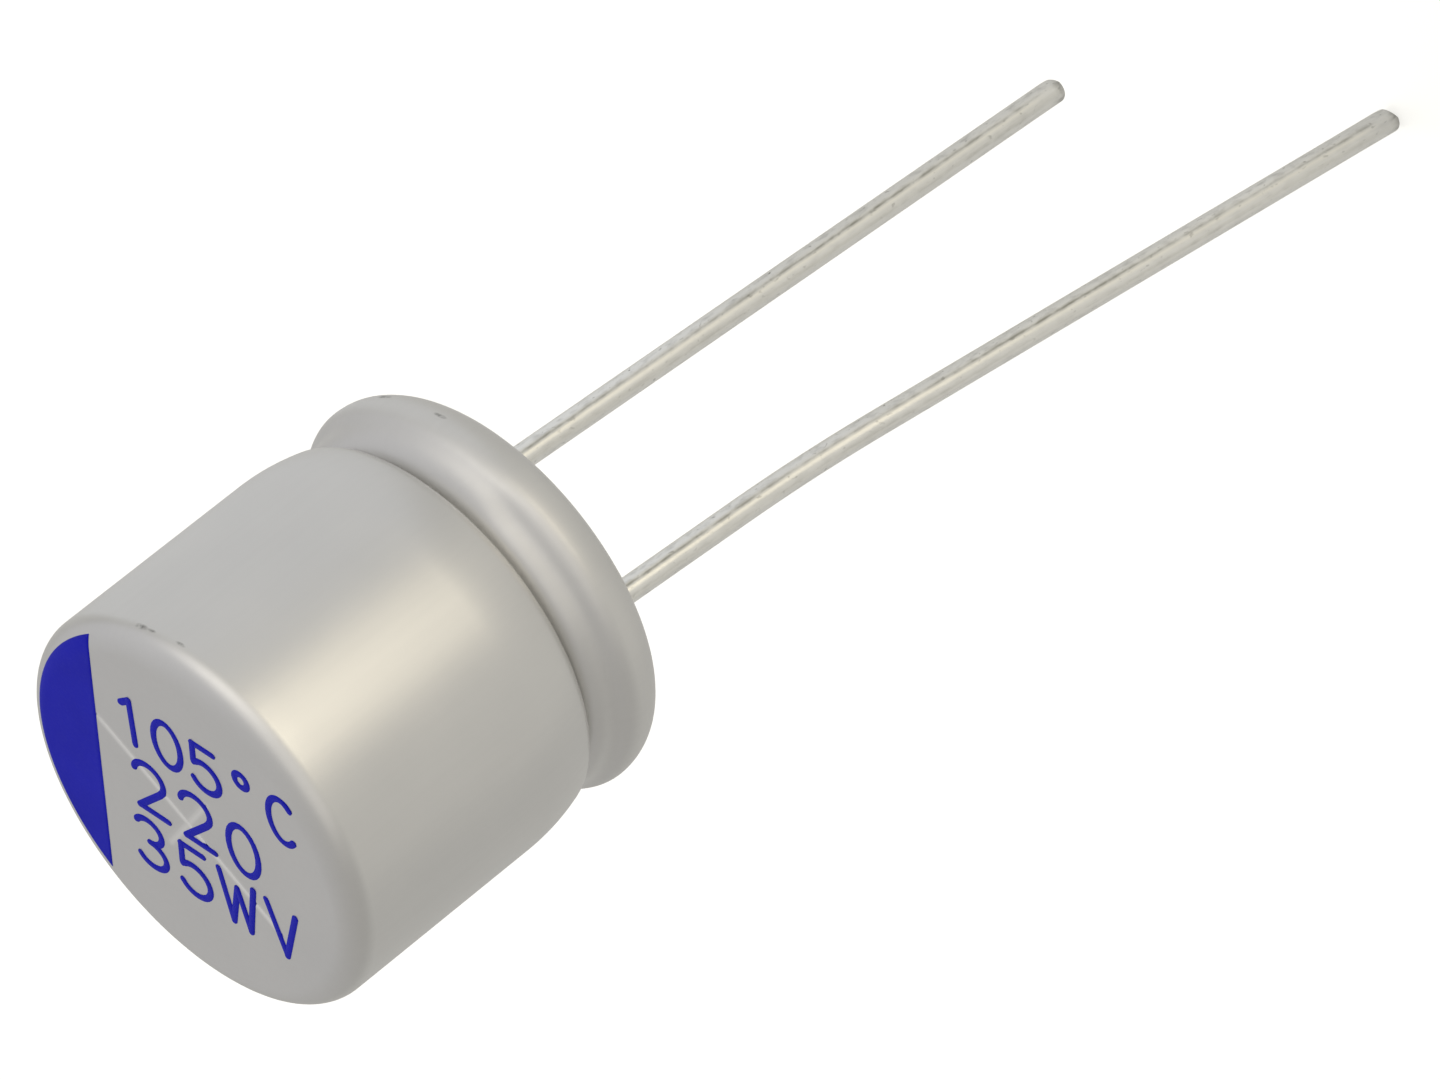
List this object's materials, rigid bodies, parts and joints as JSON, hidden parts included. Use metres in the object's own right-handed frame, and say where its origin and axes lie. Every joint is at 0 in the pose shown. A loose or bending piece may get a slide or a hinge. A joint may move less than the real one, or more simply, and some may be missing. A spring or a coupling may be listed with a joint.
{
  "type": "hybrid capacitor",
  "caption": "Radial-lead hybrid capacitor that stores charge: drawn aluminium can with scored vent, rolled groove and curled lip over a rubber bung, blue polarity mark and tinned wire leads.",
  "frame": {"origin": "middle of the seating plane, on the can's axis, level with the land of the curled lip", "axes": "+Z along the can's axis towards the closed end, leads down; X through both leads, the positive one at -X and the negative one at +X"},
  "size_m": [0.0111, 0.01, 0.0323],
  "materials": {
    "drawn_aluminium": "satin drawn sheet",
    "butyl_rubber": "matte moulded",
    "terminal_aluminium": "pressed",
    "tinned_wire": "bright tin plate",
    "foil_and_paper": "paper edges",
    "tape_film": "smooth film",
    "blue_ink": "printed ink"
  },
  "bodies": {
    "root": {"case": "drawn_aluminium", "sealing_bung": "butyl_rubber", "anode_tab": "terminal_aluminium", "cathode_tab": "terminal_aluminium", "anode_lead": "tinned_wire", "cathode_lead": "tinned_wire", "wound_element": "foil_and_paper", "stop_tape": "tape_film", "polarity_mark": "blue_ink"}
  },
  "joints": []
}
